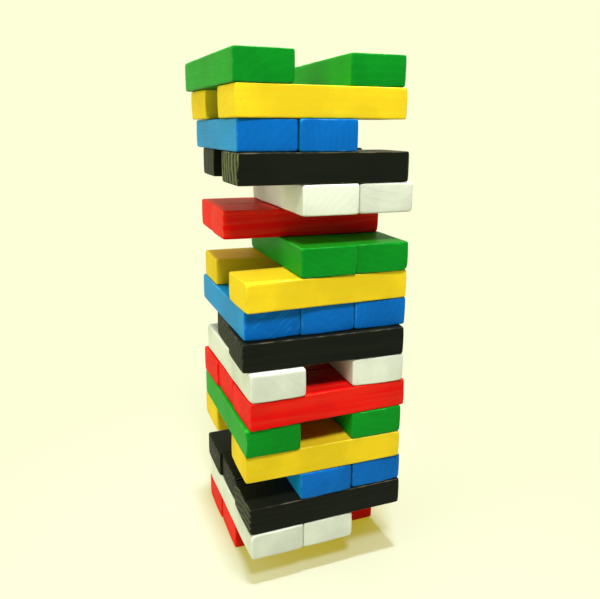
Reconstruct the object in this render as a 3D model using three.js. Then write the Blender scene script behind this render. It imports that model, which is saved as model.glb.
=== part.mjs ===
// Giant tumbling tower, a lawn game part way through play.
//
// Plain wooden blocks are stacked three to a layer, each layer square to the one below. Fifteen
// blocks have been drawn, and the ones that are left have been nudged out of line.
//
// Units are millimetres, +Z is up. The origin is on the ground, under the centre line that the
// tower was built on. That point is on the underside of the middle block of the lowest layer.
// The odd layers, counted from the ground, run along X and the even layers run along Y.

import * as THREE from 'three';
import { RoundedBoxGeometry } from 'three/addons/geometries/RoundedBoxGeometry.js';

// Driving dimensions of one block, and the play between stacked blocks.
const BLOCK_LENGTH = 190;
const BLOCK_WIDTH = 63;
const BLOCK_HEIGHT = 32;
const EDGE_RADIUS = 1.6;
const EDGE_SEGMENTS = 2;
const SIDE_GAP = 0.35;
const LAYER_GAP = 0.3;

const SLOT_PITCH = BLOCK_WIDTH + SIDE_GAP;
const LAYER_PITCH = BLOCK_HEIGHT + LAYER_GAP;

// The colours are laid in this order from the ground up, and repeat every six layers.
const PAINTS = [
  { name: 'red', colour: 0xc8190f },
  { name: 'white', colour: 0xe8ead6 },
  { name: 'black', colour: 0x1d201a },
  { name: 'blue', colour: 0x0a60b0 },
  { name: 'yellow', colour: 0xe9c71c },
  { name: 'green', colour: 0x12822a },
];
const PAINT_ROUGHNESS = 0.55;
const PAINT_METALNESS = 0;

// A layer has three slots side by side, one slot pitch apart.
const SLOT_STEP = { front: -1, left: -1, middle: 0, back: 1, right: 1 };

// The blocks that each layer still holds, from the ground up. Each is written as
// [shift along X, shift along Y, turn], in millimetres and in degrees anticlockwise from above:
// how far play has moved it from the middle of its slot.
const LAYERS = [
  { middle: [3, 1, -0.5], back: [2, 3, -0.5] },
  { left: [3, -4, 0.5], middle: [3, -3, 0.5] },
  { front: [2, -3, 0], middle: [4, 1, 0], back: [1, 2, 0] },
  { middle: [-1, -4, 0.5], right: [1, -2, 0.5] },
  { front: [-1, -3, -1], back: [-1, 1, -0.5] },
  { left: [-1, -5, 0], right: [-1, -5, -0.5] },
  { front: [2, -5, 1.5], middle: [2, -2, 1], back: [-1, -2, 1] },
  { left: [3, -9, 0.5], right: [1, -5, -2] },
  { front: [-2, -3, -1.5], middle: [4, 8, -2] },
  { left: [2, 6, 0], middle: [2, 4, 0], right: [2, 3, 0] },
  { front: [1, 0, 1.5], back: [3, -3, -1.5] },
  { middle: [1, -2, -1], right: [1, -1, -1] },
  { middle: [-1, 6, -2], back: [2, 6, -2] },
  { middle: [3, -2, -1.5], right: [4, -1, -1.5] },
  { front: [-4, 0, -0.5], back: [5, 1, -2] },
  { left: [-2, 4, -0.5], middle: [-1, 0, -0.5] },
  { front: [-6, 4, 1.5], back: [-7, 2, 2.5] },
  { left: [-10, 2, 2], right: [-7, 7, -1] },
];

const materials = PAINTS.map(
  (paint) =>
    new THREE.MeshStandardMaterial({
      name: paint.name,
      color: paint.colour,
      roughness: PAINT_ROUGHNESS,
      metalness: PAINT_METALNESS,
    }),
);

// One block lying along X, centred on its own middle, with every edge and corner eased.
function blockGeometry() {
  return new RoundedBoxGeometry(BLOCK_LENGTH, BLOCK_WIDTH, BLOCK_HEIGHT, EDGE_SEGMENTS, EDGE_RADIUS);
}

// A block's name gives its layer counted from the ground, its colour and its slot.
function blockName(layerNumber, paint, slot) {
  return `layer_${String(layerNumber).padStart(2, '0')}_${paint.name}_${slot}`;
}

function makeBlock(layerNumber, slot, [shiftX, shiftY, turn]) {
  const paintIndex = (layerNumber - 1) % PAINTS.length;
  const runsAlongX = layerNumber % 2 === 1;
  const across = SLOT_STEP[slot] * SLOT_PITCH;

  const block = new THREE.Mesh(blockGeometry(), materials[paintIndex]);
  block.name = blockName(layerNumber, PAINTS[paintIndex], slot);
  block.position.set(
    shiftX + (runsAlongX ? 0 : across),
    shiftY + (runsAlongX ? across : 0),
    BLOCK_HEIGHT / 2,
  );
  block.rotation.z = THREE.MathUtils.degToRad(turn + (runsAlongX ? 0 : 90));
  return block;
}

const tower = new THREE.Group();
LAYERS.forEach((slots, index) => {
  const layer = new THREE.Group();
  layer.position.z = index * LAYER_PITCH;
  for (const [slot, nudge] of Object.entries(slots)) {
    layer.add(makeBlock(index + 1, slot, nudge));
  }
  tower.add(layer);
});

export default tower;
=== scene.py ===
"""Looks of the giant tumbling tower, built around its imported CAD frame.

Every block of the frame is replaced by a finely shaped one: eased and bruised edges, softly domed
saw cuts, slightly uneven faces, and a paint through which the wood's own rings and fibres show.
Metres, +Z up, with the frame's own origin. A block's own coordinates run along its length (X),
across its width (Y) and up through its height (Z), from its middle.
"""

import math

import bmesh
import bpy
import numpy as np
from mathutils import Matrix, Vector


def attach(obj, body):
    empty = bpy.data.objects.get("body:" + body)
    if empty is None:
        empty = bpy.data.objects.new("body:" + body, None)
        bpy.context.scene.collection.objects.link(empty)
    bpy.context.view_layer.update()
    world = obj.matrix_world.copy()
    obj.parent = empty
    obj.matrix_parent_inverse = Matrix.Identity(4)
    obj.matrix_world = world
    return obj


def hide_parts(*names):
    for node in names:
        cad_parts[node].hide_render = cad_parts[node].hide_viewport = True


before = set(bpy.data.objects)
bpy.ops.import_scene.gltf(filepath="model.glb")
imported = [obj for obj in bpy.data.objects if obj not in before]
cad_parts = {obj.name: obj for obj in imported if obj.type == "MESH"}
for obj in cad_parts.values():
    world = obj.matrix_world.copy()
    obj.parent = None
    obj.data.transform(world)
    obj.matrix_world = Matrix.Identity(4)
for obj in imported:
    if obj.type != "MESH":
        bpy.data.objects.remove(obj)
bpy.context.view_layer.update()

MM = 0.001

# Surface points near an edge, as distances in from it. The rest of a face is divided evenly.
EDGE_BAND = np.array([0.0, 0.6, 1.3, 2.2, 3.6, 6.0]) * MM
FACE_STEP = 4.0 * MM

# Each paint's edge radius swings by this share of itself, over this distance, and grows at corners.
RADIUS_SWING = 0.30
RADIUS_WAVELENGTH = 45 * MM
SMALLEST_RADIUS = 0.7 * MM
CORNER_WEAR = 0.9 * MM
CORNER_REACH = 5.0 * MM

# Bruises are scattered over a block's edges, about half of them on the long ones. A chip is one
# deep bruise.
EDGE_CHANCES = (0.5, 0.3, 0.2)
BRUISES = 7
BRUISE_DEPTH = (0.5 * MM, 1.8 * MM)
BRUISE_REACH = (2.0 * MM, 5.0 * MM)
CHIP_DEPTH = 3.0 * MM
CHIP_REACH = 4.0 * MM

# Faces are a little hollow here and there, and sanding has domed the saw cuts at the ends.
FACE_SWING = 0.16 * MM
FACE_WAVELENGTH = 70 * MM
END_DOME = 0.9 * MM
DOME_SWING = (0.5, 1.3)
DOME_REACH = 9.0 * MM

# A block is this share smaller than its CAD solid, so that the tower stays inside the CAD box.
SHRINKAGE = 0.0016

# Wood under the paint: the usual width of a year's ring and how it varies, how far off the tree's
# middle is, how far the rings lean along the block, and how far they wander. Within a year the
# late wood fades in over the first share of the ring, and out over the second.
RING_PITCH = 8.5 * MM
RING_PITCH_SWING = (0.75, 1.15)
PITH_DISTANCE = (60 * MM, 170 * MM)
RING_LEAN = 0.05
RING_WANDER = 12 * MM
LATE_WOOD_IN = (0.30, 0.80)
LATE_WOOD_OUT = (0.86, 1.0)

# How finely each texture repeats along, across and up the block, per metre.
RING_WANDER_GRAIN = (5, 26, 26)
FIBRE_GRAIN = (22, 900, 900)
STREAK_GRAIN = (6, 130, 130)
CLOUD_GRAIN = (16, 16, 16)
PORE_GRAIN = (60, 500, 500)
BRUSH_GRAIN = (40, 45, 260)
SPECK_GRAIN = (330, 330, 330)
GRIP_GRAIN = (60, 90, 90)

# The ends' own look is whole within the first distance of the saw cut and gone by the second.
END_LOOK = (1.2 * MM, 2.6 * MM)

# How far each block's paint differs from its layer's, and how much darker it is in the clouds,
# in a speck and along the lower edges, with the shares at which specks and lower edges show.
# The darkening along the lower edges is painted shade, where each block's contact shadow falls;
# it fades out between these heights above the lower face and wanders by up to this much.
TONE_SWING = (0.94, 1.04)
CLOUD_TONE = 0.84
SPECK_TONE = 0.35
SPECK_SHARE = 0.30
PAINTED_SHADE_TONE = 0.25
PAINTED_SHADE_SHARE = 0.45
PAINTED_SHADE_HEIGHT = (0.9 * MM, 2.3 * MM)
PAINTED_SHADE_WANDER = 1.2 * MM

# The paint is rubbed thin within the first distance of an edge and whole beyond the second, both
# measured after the grip texture has moved the edge in by up to the wander.
RUBBED_DEPTH = (-1.5 * MM, -0.4 * MM)
RUBBED_WANDER = 3.0 * MM

# Relief of the fibres, of the rings on faces and on ends, and of the open pores on ends.
FIBRE_RELIEF = 0.018 * MM
FACE_RIDGE = 0.010 * MM
END_RIDGE = 0.06 * MM
PORE_RELIEF = 0.10 * MM
RELIEF_STRENGTH = 0.9

PAINT_ROUGHNESS = (0.40, 0.54)
END_ROUGHNESS = 0.08
PAINT_IOR = 1.45

# Each paint: its colour on the long faces and on the sawn ends, where the end grain takes the paint
# its own way and where painted light and shade also set the ends lighter or darker to match the
# light on the sides of the tower they face, its tint where rubbed thin, the tint of the wood's figure
# under it, how strongly the figure shows on long faces and on sawn ends, how far the edges are
# rubbed, how strongly the paint shines, and the radius of the edges.
PAINTS = {
    "red": {
        "coat": (0.80, 0.005, 0.004),
        "end_coat_with_painted_light": (0.82, 0.006, 0.004),
        "rubbed": (0.88, 0.13, 0.06),
        "figure": (0.66, 0.085, 0.030),
        "face_figure": 0.22,
        "end_figure": 0.30,
        "rub": 0.35,
        "gloss": 0.05,
        "radius": 1.1 * MM,
    },
    "white": {
        "coat": (0.73, 0.77, 0.64),
        "end_coat_with_painted_light": (0.75, 0.80, 0.68),
        "rubbed": (0.92, 0.95, 0.84),
        "figure": (0.74, 0.74, 0.58),
        "face_figure": 0.14,
        "end_figure": 0.16,
        "rub": 0.6,
        "gloss": 0.02,
        "radius": 2.0 * MM,
    },
    "black": {
        "coat": (0.0075, 0.0095, 0.0065),
        "end_coat_with_painted_light": (0.0065, 0.0085, 0.0045),
        "rubbed": (0.20, 0.17, 0.11),
        "figure": (0.080, 0.090, 0.040),
        "face_figure": 0.04,
        "end_figure": 0.45,
        "rub": 0.55,
        "gloss": 0.07,
        "radius": 1.2 * MM,
    },
    "blue": {
        "coat": (0.004, 0.270, 0.600),
        "end_coat_with_painted_light": (0.0012, 0.135, 0.53),
        "rubbed": (0.12, 0.42, 0.78),
        "figure": (0.010, 0.25, 0.66),
        "face_figure": 0.20,
        "end_figure": 0.14,
        "rub": 0.85,
        "gloss": 0.07,
        "radius": 1.4 * MM,
    },
    "yellow": {
        "coat": (0.90, 0.655, 0.018),
        "end_coat_with_painted_light": (0.80, 0.590, 0.014),
        "rubbed": (0.95, 0.84, 0.22),
        "figure": (0.78, 0.48, 0.010),
        "face_figure": 0.26,
        "end_figure": 0.32,
        "rub": 0.55,
        "gloss": 0.03,
        "radius": 1.4 * MM,
    },
    "green": {
        "coat": (0.006, 0.320, 0.010),
        "end_coat_with_painted_light": (0.0022, 0.250, 0.014),
        "rubbed": (0.08, 0.50, 0.09),
        "figure": (0.010, 0.36, 0.030),
        "face_figure": 0.22,
        "end_figure": 0.14,
        "rub": 0.65,
        "gloss": 0.07,
        "radius": 1.2 * MM,
    },
}

# Blocks whose own grain or damage stands out. A pith bearing is the way from the tree's middle to
# the block's, across the block, in degrees round from its width (+Y) towards its height (+Z).
NOTABLE = {
    "layer_15_black_front": {
        "pith_bearing": -8,
        "ring_pitch": 10 * MM,
        "end_figure": 1.3,
        "figure": (0.18, 0.21, 0.07),
        "face_figure": 0.01,
    },
    "layer_15_black_back": {"pith_bearing": 5, "end_figure": 1.0},
    # On layer 13's red blocks the stronger orange figure is partly the wood's grain and partly painted
    # sheen: the streaks of light their tops catch.
    "layer_13_red_middle": {
        "pith_bearing": -50,
        "ring_pitch": 10 * MM,
        "end_figure": 1.1,
        "face_figure": 0.30,
        "face_ridge": 0.20 * MM,
    },
    "layer_13_red_back": {"pith_bearing": -60, "face_figure": 0.60, "face_ridge": 0.30 * MM},
    "layer_09_black_front": {"pith_bearing": 25, "end_figure": 0.3},
    "layer_03_black_front": {"pith_bearing": 75, "end_figure": 1.3},
    "layer_10_blue_left": {"pith_bearing": 130, "end_figure": 0.0, "marks": 0.55},
    "layer_12_green_right": {"chip": (-1, -1, -1)},
}

# The view: a camera a little lower than the top of the tower, ahead of it and to its left.
CAMERA_PLACE = (-0.2603, -0.6713, 0.5072)
CAMERA_HEADING = math.radians(-20.9)
CAMERA_PITCH = math.radians(-14.1)
CAMERA_ROLL = math.radians(0.28)
SENSOR_WIDTH = 36.0
CAMERA_LENS = 36.8
CAMERA_SHIFT = (0.010, -0.0285)

# Light: a bright cream surround behind the tower and to its left, little from the camera's side,
# a key lamp above and in front, a lamp almost straight overhead and a soft one from the left.
# The surround goes from unlit to bright between two shares of the way to its bright side.
BACKDROP = (0.98, 1.00, 0.69)
UNLIT_SIDE = (0.040, 0.040, 0.034)
BRIGHT_SIDE = (-0.30, 0.95, 0.0)
BRIGHT_EDGE = (-0.40, 0.25)
KEY_PLACE = Vector((-0.28, -1.14, 2.08))
KEY_TARGET = Vector((0.0, -0.05, 0.29))
KEY_WIDTH = 0.45
KEY_POWER = 40.0
TOP_STRENGTH = 3.4
TOP_SPREAD = math.radians(4)
TOP_TRAVEL = Vector((0.0, 0.04, -1.0))
SIDE_STRENGTH = 0.85
SIDE_SPREAD = math.radians(50)
SIDE_TRAVEL = Vector((0.93, 0.10, -0.35))

# The floor is paper with a painted warm glow, light painted into it that lightens its shadows and is
# seen most there, and it fades into the backdrop with distance.
FLOOR_SIZE = 34.0
FLOOR_DROP = 0.2 * MM
FLOOR_COAT = (0.28, 0.322, 0.340)
FLOOR_PAINTED_GLOW = (0.385, 0.310, 0.012)
FLOOR_NEAR = 0.22
FLOOR_FAR = 0.60
FLOOR_ROUGHNESS = 0.9
DOME_RADIUS = 18.0


# ---------------------------------------------------------------- the blocks in the frame


def measure_block(node):
    """A block's middle, its heading about the vertical and its (length, width, height)."""
    points = np.array([v.co for v in node.data.vertices])
    middle = (points.min(0) + points.max(0)) / 2
    spread = np.cov((points - middle)[:, :2].T)
    along = np.linalg.eigh(spread)[1][:, 1]
    if along.sum() < 0:
        along = -along
    heading = math.atan2(along[1], along[0])
    across = np.array([-along[1], along[0]])
    plan = (points - middle)[:, :2]
    size = (
        np.ptp(plan @ along),
        np.ptp(plan @ across),
        np.ptp(points[:, 2]),
    )
    return middle, heading, np.array(size)


# ---------------------------------------------------------------- block meshes


def ticks(length):
    """Places along one side of a block, close together near both of its ends."""
    half = length / 2
    band = half - EDGE_BAND
    steps = max(2, round(2 * band[-1] / FACE_STEP))
    inner = np.linspace(-band[-1], band[-1], steps + 1)[1:-1]
    return np.concatenate([-band, inner, band[::-1]])


def box_lattice(size):
    """Points and outward quads of a box whose faces are divided at the ticks."""
    lines = [ticks(side) for side in size]
    counts = [len(line) for line in lines]
    index, points, quads = {}, [], []

    def point(cell):
        if cell not in index:
            index[cell] = len(points)
            points.append([lines[axis][cell[axis]] for axis in range(3)])
        return index[cell]

    for axis in range(3):
        first, second = (axis + 1) % 3, (axis + 2) % 3
        for end in (0, counts[axis] - 1):
            for a in range(counts[first] - 1):
                for b in range(counts[second] - 1):
                    ring = []
                    for step_a, step_b in ((0, 0), (1, 0), (1, 1), (0, 1)):
                        cell = [0, 0, 0]
                        cell[axis], cell[first], cell[second] = end, a + step_a, b + step_b
                        ring.append(point(tuple(cell)))
                    quads.append(ring if end else ring[::-1])
    return np.array(points), np.array(quads)


def wander(points, rng, wavelength, terms=7):
    """A smooth random value at each point, mostly between -1 and 1."""
    total = np.zeros(len(points))
    for _ in range(terms):
        direction = rng.normal(size=3)
        direction /= np.linalg.norm(direction)
        scale = 2 * math.pi / (wavelength * rng.uniform(0.6, 1.6))
        total += np.sin(points @ direction * scale + rng.uniform(0, 2 * math.pi))
    return total / math.sqrt(terms / 2) / 1.5


def random_edge_point(half, rng):
    """A point on one of the block's twelve edges, more often on a long one."""
    axis = rng.choice(3, p=EDGE_CHANCES)
    place = half * rng.choice((-1, 1), size=3)
    place[axis] = rng.uniform(-half[axis], half[axis])
    return place


def edge_radius(points, half, paint, chip, rng):
    """How far the edge is eased near each point, more at corners and where it is bruised.

    A chip is the signs of the corner that has one.
    """

    def bump(offsets, height, reach):
        return height * np.exp(-((np.linalg.norm(offsets, axis=1) / reach) ** 2))

    radius = paint["radius"] * (1 + RADIUS_SWING * wander(points, rng, RADIUS_WAVELENGTH))
    radius += bump(half - np.abs(points), CORNER_WEAR, CORNER_REACH)
    for _ in range(BRUISES):
        spot = random_edge_point(half, rng)
        reach = rng.uniform(*BRUISE_REACH)
        depth = rng.uniform(*BRUISE_DEPTH)
        radius += bump(points - spot, depth, reach)
    if chip:
        radius += bump(points - half * np.array(chip), CHIP_DEPTH, CHIP_REACH)
    return np.maximum(radius, SMALLEST_RADIUS)


def shape_block(lattice, size, paint, chip, rng):
    """The lattice's points, moved in to the worn surface of one block."""
    half = size / 2
    radius = edge_radius(lattice, half, paint, chip, rng)[:, None]
    core = np.clip(lattice, radius - half, half - radius)
    out = lattice - core
    out /= np.linalg.norm(out, axis=1)[:, None]
    sunk = FACE_SWING * (0.5 + 0.5 * wander(lattice, rng, FACE_WAVELENGTH))[:, None]
    points = core + out * (radius - np.clip(sunk, 0, FACE_SWING))

    near_end = np.clip((np.abs(points[:, 0]) - half[0] + DOME_REACH) / DOME_REACH, 0, 1)
    from_middle = (points[:, 1] / half[1]) ** 2 * 0.6 + (points[:, 2] / half[2]) ** 2 * 0.4
    dome = END_DOME * rng.uniform(*DOME_SWING)
    points[:, 0] -= np.sign(points[:, 0]) * dome * from_middle * near_end**2
    return points * (1 - SHRINKAGE)


def make_mesh(name, points, quads):
    mesh = bpy.data.meshes.new(name)
    mesh.from_pydata(points.tolist(), [], quads.tolist())
    mesh.polygons.foreach_set("use_smooth", [True] * len(quads))
    mesh.update()
    return mesh


# ---------------------------------------------------------------- materials


class Shader:
    """Short calls that add nodes to a new material and join them."""

    def __init__(self, name):
        self.material = bpy.data.materials.new(name)
        self.material.use_nodes = True
        self.tree = self.material.node_tree
        self.tree.nodes.clear()

    def add(self, kind, inputs=None, **settings):
        node = self.tree.nodes.new("ShaderNode" + kind)
        for name, value in settings.items():
            setattr(node, name, value)
        for name, value in (inputs or {}).items():
            self.put(node.inputs[name], value)
        return node

    def put(self, socket, value):
        if isinstance(value, bpy.types.NodeSocket):
            self.tree.links.new(value, socket)
        elif socket.type == "RGBA":
            socket.default_value = (*value, 1.0)
        else:
            socket.default_value = value

    def math(self, operation, *values):
        node = self.add("Math", operation=operation)
        for socket, value in zip(node.inputs, values):
            self.put(socket, value)
        return node.outputs["Value"]

    def fade(self, value, low, high, start=0.0, end=1.0):
        """Goes smoothly from start to end as value goes from low to high."""
        node = self.add(
            "MapRange",
            {"Value": value, "From Min": low, "From Max": high, "To Min": start, "To Max": end},
            interpolation_type="SMOOTHSTEP",
        )
        return node.outputs["Result"]

    def mix(self, share, first, second):
        node = self.add("Mix", data_type="RGBA")
        factor = next(s for s in node.inputs if s.name == "Factor" and s.type == "VALUE")
        colours = [s for s in node.inputs if s.type == "RGBA"]
        self.put(factor, share)
        self.put(colours[0], first)
        self.put(colours[1], second)
        return next(s for s in node.outputs if s.type == "RGBA")

    def blend(self, share, first, second):
        """Between two plain values, as mix is between two colours."""
        change = self.math("SUBTRACT", second, first)
        return self.math("ADD", first, self.math("MULTIPLY", share, change))

    def finish(self, surface):
        output = self.add("OutputMaterial")
        self.tree.links.new(surface, output.inputs["Surface"])

    def noise(self, vector, grain, offset, detail=3.0, roughness=0.5):
        """A noise from 0 to 1 that repeats as finely as the grain says in each direction."""
        place = self.add("Mapping", {"Vector": vector, "Scale": grain, "Location": offset})
        node = self.add(
            "TexNoise",
            {
                "Vector": place.outputs["Vector"],
                "Scale": 1.0,
                "Detail": detail,
                "Roughness": roughness,
            },
        )
        return node.outputs["Fac"]


def tinted(colour, share):
    return tuple(share * channel for channel in colour)


def edge_distance(shader, place, half):
    """How far a point is from the nearest edge: the second smallest distance to a face."""
    x, y, z = (
        shader.math("SUBTRACT", float(side), shader.math("ABSOLUTE", place[axis]))
        for side, axis in zip(half, "XYZ")
    )
    nearer = shader.math("MINIMUM", x, y)
    further = shader.math("MAXIMUM", x, y)
    return shader.math("MAXIMUM", nearer, shader.math("MINIMUM", further, z))


def growth_rings(shader, own, place, notable, rng):
    """0 in the soft early wood of each year, rising to 1 in its hard late wood."""
    bearing = rng.uniform(0, 2 * math.pi)
    pitch = RING_PITCH * rng.uniform(*RING_PITCH_SWING)
    distance = rng.uniform(*PITH_DISTANCE)
    lean = rng.uniform(-RING_LEAN, RING_LEAN)
    if "pith_bearing" in notable:
        bearing = math.radians(notable["pith_bearing"])
    pitch = notable.get("ring_pitch", pitch)

    y = shader.math("ADD", place["Y"], distance * math.cos(bearing))
    z = shader.math("ADD", place["Z"], distance * math.sin(bearing))
    squares = shader.math("ADD", shader.math("POWER", y, 2.0), shader.math("POWER", z, 2.0))
    wander_noise = shader.noise(own, RING_WANDER_GRAIN, rng.uniform(-9, 9, 3), detail=2.0)
    radius = shader.math("ADD", shader.math("SQRT", squares), shader.math("MULTIPLY", place["X"], lean))
    radius = shader.math("ADD", radius, shader.math("MULTIPLY", wander_noise, RING_WANDER))
    year = shader.math("FRACT", shader.math("DIVIDE", radius, pitch))
    rise = shader.fade(year, *LATE_WOOD_IN)
    fall = shader.fade(year, *LATE_WOOD_OUT, 1.0, 0.0)
    return shader.math("MULTIPLY", rise, fall)


def figure_share(shader, own, offset, slope, rings, on_end, paint, notable):
    """How strongly the wood shows: rings and streaks on faces, rings and brush marks on ends."""
    end_figure = notable.get("end_figure", paint["end_figure"])
    face_figure = notable.get("face_figure", paint["face_figure"])

    streaks = shader.noise(own, STREAK_GRAIN, -offset)
    streak_share = shader.fade(streaks, 0.40, 0.75, 0.0, face_figure)
    face_share = shader.math("MULTIPLY", rings, 0.7 * face_figure)
    face_share = shader.math("MAXIMUM", face_share, streak_share)

    slanted = shader.add("Mapping", {"Vector": own, "Rotation": (slope, 0, 0)}).outputs["Vector"]
    marks = shader.noise(slanted, BRUSH_GRAIN, offset)
    mark_share = shader.fade(marks, 0.48, 0.72, 0.0, notable.get("marks", paint["end_figure"]))
    end_share = shader.math("MULTIPLY", rings, 0.6 * end_figure)
    end_share = shader.math("MAXIMUM", end_share, mark_share)
    return shader.blend(on_end, face_share, end_share)


def whole_coat(shader, own, offset, on_end, coat, end_coat_with_painted_light):
    """The unworn paint, a little uneven, with the ends in their own colour, partly painted light and
    shade.
    """
    clouds = shader.noise(own, CLOUD_GRAIN, offset * 2)
    full = shader.mix(on_end, coat, end_coat_with_painted_light)
    deep = shader.mix(on_end, tinted(coat, CLOUD_TONE), tinted(end_coat_with_painted_light, CLOUD_TONE))
    return shader.mix(shader.fade(clouds, 0.36, 0.62), deep, full)


def worn_and_shaded_coat(shader, own, offset, place, half, colour, coat, paint):
    """The colour with specks in it, edges rubbed thin, and painted shade darkening the lower edges."""
    dots = shader.noise(own, SPECK_GRAIN, offset, detail=1.0)
    specks = shader.fade(dots, 0.72, 0.80, 0.0, SPECK_SHARE)
    colour = shader.mix(specks, colour, tinted(coat, SPECK_TONE))

    grip = shader.noise(own, GRIP_GRAIN, offset, detail=4.0)
    depth = edge_distance(shader, place, half)
    depth = shader.math("SUBTRACT", depth, shader.math("MULTIPLY", grip, RUBBED_WANDER))
    thin = shader.fade(depth, *RUBBED_DEPTH, paint["rub"], 0.0)
    colour = shader.mix(thin, colour, paint["rubbed"])

    # Painted shade: the paint darkens towards the lower edges, where each block's contact shadow falls.
    height = shader.math("ADD", place["Z"], float(half[2]))
    shade_height = shader.math("ADD", height, shader.math("MULTIPLY", grip, PAINTED_SHADE_WANDER))
    painted_shade = shader.fade(shade_height, *PAINTED_SHADE_HEIGHT, PAINTED_SHADE_SHARE, 0.0)
    return shader.mix(painted_shade, colour, tinted(coat, PAINTED_SHADE_TONE))


def paint_relief(shader, own, offset, rings, fibres, on_end, notable):
    """Fibres along the faces, ring ridges, and open pores on the ends."""
    fibre_relief = shader.math("MULTIPLY", fibres, FIBRE_RELIEF)
    ridge = shader.fade(on_end, 0.0, 1.0, notable.get("face_ridge", FACE_RIDGE), END_RIDGE)
    ring_relief = shader.math("MULTIPLY", rings, ridge)
    pores = shader.noise(own, PORE_GRAIN, offset, roughness=0.7)
    pore_relief = shader.math("MULTIPLY", shader.math("MULTIPLY", pores, on_end), PORE_RELIEF)
    height = shader.math("ADD", shader.math("ADD", fibre_relief, ring_relief), pore_relief)
    bump = shader.add("Bump", {"Height": height, "Distance": 1.0, "Strength": RELIEF_STRENGTH})
    return bump.outputs["Normal"]


def painted_wood(name, paint, size, notable, rng):
    """Thin satin paint over sanded wood, for a block of this size."""
    shader = Shader(name)
    half = size / 2
    own = shader.add("TexCoord").outputs["Object"]
    place = shader.add("SeparateXYZ", {"Vector": own}).outputs
    offset = rng.uniform(-5, 5, 3)
    rings = growth_rings(shader, own, place, notable, rng)
    brush_slope = rng.uniform(0.3, 1.0)
    tone = rng.uniform(*TONE_SWING)

    inset = shader.math("SUBTRACT", float(half[0]), shader.math("ABSOLUTE", place["X"]))
    on_end = shader.fade(inset, *END_LOOK, 1.0, 0.0)

    coat = tinted(paint["coat"], tone)
    # The ends' colour is partly painted light and shade: lighter or darker to match the light on the
    # sides they face.
    end_coat_with_painted_light = tinted(paint["end_coat_with_painted_light"], tone)
    figure = figure_share(shader, own, offset, brush_slope, rings, on_end, paint, notable)
    colour = whole_coat(shader, own, offset, on_end, coat, end_coat_with_painted_light)
    colour = shader.mix(figure, colour, notable.get("figure", paint["figure"]))
    colour = worn_and_shaded_coat(shader, own, offset, place, half, colour, coat, paint)

    fibres = shader.noise(own, FIBRE_GRAIN, offset, detail=4.0, roughness=0.65)
    rough = shader.fade(fibres, 0.3, 0.7, *PAINT_ROUGHNESS)
    rough = shader.math("ADD", rough, shader.math("MULTIPLY", on_end, END_ROUGHNESS))
    surface = shader.add(
        "BsdfPrincipled",
        {
            "Base Color": colour,
            "Roughness": rough,
            "IOR": PAINT_IOR,
            "Specular IOR Level": paint["gloss"],
            "Normal": paint_relief(shader, own, offset, rings, fibres, on_end, notable),
        },
    )
    shader.finish(surface.outputs["BSDF"])
    return shader.material


# ---------------------------------------------------------------- the tower


def make_tower():
    names = sorted(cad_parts)
    size = measure_block(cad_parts[names[0]])[2]
    lattice, quads = box_lattice(size)
    for number, name in enumerate(names):
        middle, heading, size = measure_block(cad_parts[name])
        colour = name.split("_")[2]
        rng = np.random.default_rng(100 + number)
        notable = NOTABLE.get(name, {})
        points = shape_block(lattice, size, PAINTS[colour], notable.get("chip"), rng)
        block = bpy.data.objects.new("painted_" + name, make_mesh(name + "_mesh", points, quads))
        bpy.context.scene.collection.objects.link(block)
        block.matrix_world = Matrix.Translation(middle) @ Matrix.Rotation(heading, 4, "Z")
        material = painted_wood(name + "_paint", PAINTS[colour], size, notable, rng)
        block.data.materials.append(material)
        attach(block, name)
        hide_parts(name)


# ---------------------------------------------------------------- floor, light and camera


def make_floor():
    """A cream sheet, lit close to the tower and running out into the backdrop's own colour."""
    corner = FLOOR_SIZE / 2
    mesh = bpy.data.meshes.new("floor")
    mesh.from_pydata(
        [(-corner, -corner, 0), (corner, -corner, 0), (corner, corner, 0), (-corner, corner, 0)],
        [],
        [(0, 1, 2, 3)],
    )
    floor = bpy.data.objects.new("floor", mesh)
    bpy.context.scene.collection.objects.link(floor)
    floor.location.z = -FLOOR_DROP

    shader = Shader("floor_paper")
    own = shader.add("TexCoord").outputs["Object"]
    distance = shader.add("VectorMath", {"Vector": own}, operation="LENGTH").outputs["Value"]
    # Close to the tower the paper glows warmly: painted light that lightens the shadows on it.
    lit = shader.add(
        "BsdfPrincipled",
        {
            "Base Color": FLOOR_COAT,
            "Roughness": FLOOR_ROUGHNESS,
            "Specular IOR Level": 0.0,
            "Emission Color": FLOOR_PAINTED_GLOW,
            "Emission Strength": 1.0,
        },
    )
    glow = shader.add("Emission", {"Color": BACKDROP})
    both = shader.add("MixShader")
    shader.put(both.inputs[0], shader.fade(distance, FLOOR_NEAR, FLOOR_FAR))
    shader.put(both.inputs[1], lit.outputs["BSDF"])
    shader.put(both.inputs[2], glow.outputs["Emission"])
    shader.finish(both.outputs["Shader"])
    mesh.materials.append(shader.material)


def make_dome():
    """The pale backdrop all round. Only the camera sees it: the light comes from the world."""
    mesh = bpy.data.meshes.new("dome")
    ball = bmesh.new()
    bmesh.ops.create_icosphere(ball, subdivisions=3, radius=DOME_RADIUS)
    ball.to_mesh(mesh)
    ball.free()
    dome = bpy.data.objects.new("dome", mesh)
    bpy.context.scene.collection.objects.link(dome)
    dome.visible_diffuse = False
    dome.visible_glossy = False
    dome.visible_transmission = False
    dome.visible_volume_scatter = False
    dome.visible_shadow = False
    shader = Shader("dome_paper")
    glow = shader.add("Emission", {"Color": BACKDROP})
    shader.finish(glow.outputs["Emission"])
    mesh.materials.append(shader.material)


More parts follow.
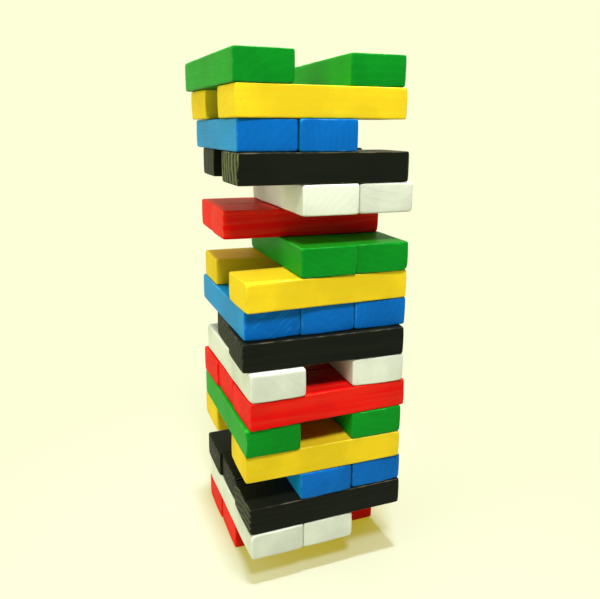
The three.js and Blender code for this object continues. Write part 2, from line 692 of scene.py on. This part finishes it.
def make_surround():
    """The surround: bright behind the tower and to its left, dim from the camera's side."""
    world = bpy.data.worlds.new("studio")
    world.use_nodes = True
    tree = world.node_tree
    way = tree.nodes.new("ShaderNodeTexCoord")
    facing = tree.nodes.new("ShaderNodeVectorMath")
    facing.operation = "DOT_PRODUCT"
    facing.inputs[1].default_value = BRIGHT_SIDE
    share = tree.nodes.new("ShaderNodeMapRange")
    share.interpolation_type = "SMOOTHSTEP"
    share.inputs["From Min"].default_value, share.inputs["From Max"].default_value = BRIGHT_EDGE
    colours = tree.nodes.new("ShaderNodeMix")
    colours.data_type = "RGBA"
    dim, bright = [socket for socket in colours.inputs if socket.type == "RGBA"]
    dim.default_value = (*UNLIT_SIDE, 1)
    bright.default_value = (*BACKDROP, 1)
    tree.links.new(way.outputs["Generated"], facing.inputs[0])
    tree.links.new(facing.outputs["Value"], share.inputs["Value"])
    tree.links.new(share.outputs["Result"], colours.inputs[0])
    mixed = next(socket for socket in colours.outputs if socket.type == "RGBA")
    tree.links.new(mixed, tree.nodes["Background"].inputs["Color"])
    bpy.context.scene.world = world


def place_lamp(data, place, travel):
    lamp = bpy.data.objects.new(data.name, data)
    bpy.context.scene.collection.objects.link(lamp)
    turn = travel.to_track_quat("-Z", "Y").to_matrix().to_4x4()
    lamp.matrix_world = Matrix.Translation(place) @ turn


def make_key_lamp():
    data = bpy.data.lights.new("key", "AREA")
    data.shape = "DISK"
    data.size = KEY_WIDTH
    data.energy = KEY_POWER
    place_lamp(data, KEY_PLACE, KEY_TARGET - KEY_PLACE)


def make_far_lamp(name, strength, spread, travel):
    data = bpy.data.lights.new(name, "SUN")
    data.energy = strength
    data.angle = spread
    place_lamp(data, -2 * travel, travel)


def make_camera():
    data = bpy.data.cameras.new("view")
    data.sensor_width = SENSOR_WIDTH
    data.lens = CAMERA_LENS
    data.shift_x, data.shift_y = CAMERA_SHIFT
    camera = bpy.data.objects.new("view", data)
    bpy.context.scene.collection.objects.link(camera)
    turn = Matrix.Rotation(CAMERA_HEADING, 4, "Z")
    pitch = Matrix.Rotation(math.pi / 2 + CAMERA_PITCH, 4, "X")
    roll = Matrix.Rotation(CAMERA_ROLL, 4, "Z")
    camera.matrix_world = Matrix.Translation(CAMERA_PLACE) @ turn @ pitch @ roll
    bpy.context.scene.camera = camera


make_tower()
make_floor()
make_dome()
make_surround()
make_key_lamp()
make_far_lamp("top", TOP_STRENGTH, TOP_SPREAD, TOP_TRAVEL)
make_far_lamp("side", SIDE_STRENGTH, SIDE_SPREAD, SIDE_TRAVEL)
make_camera()
bpy.context.scene.view_settings.view_transform = "Standard"
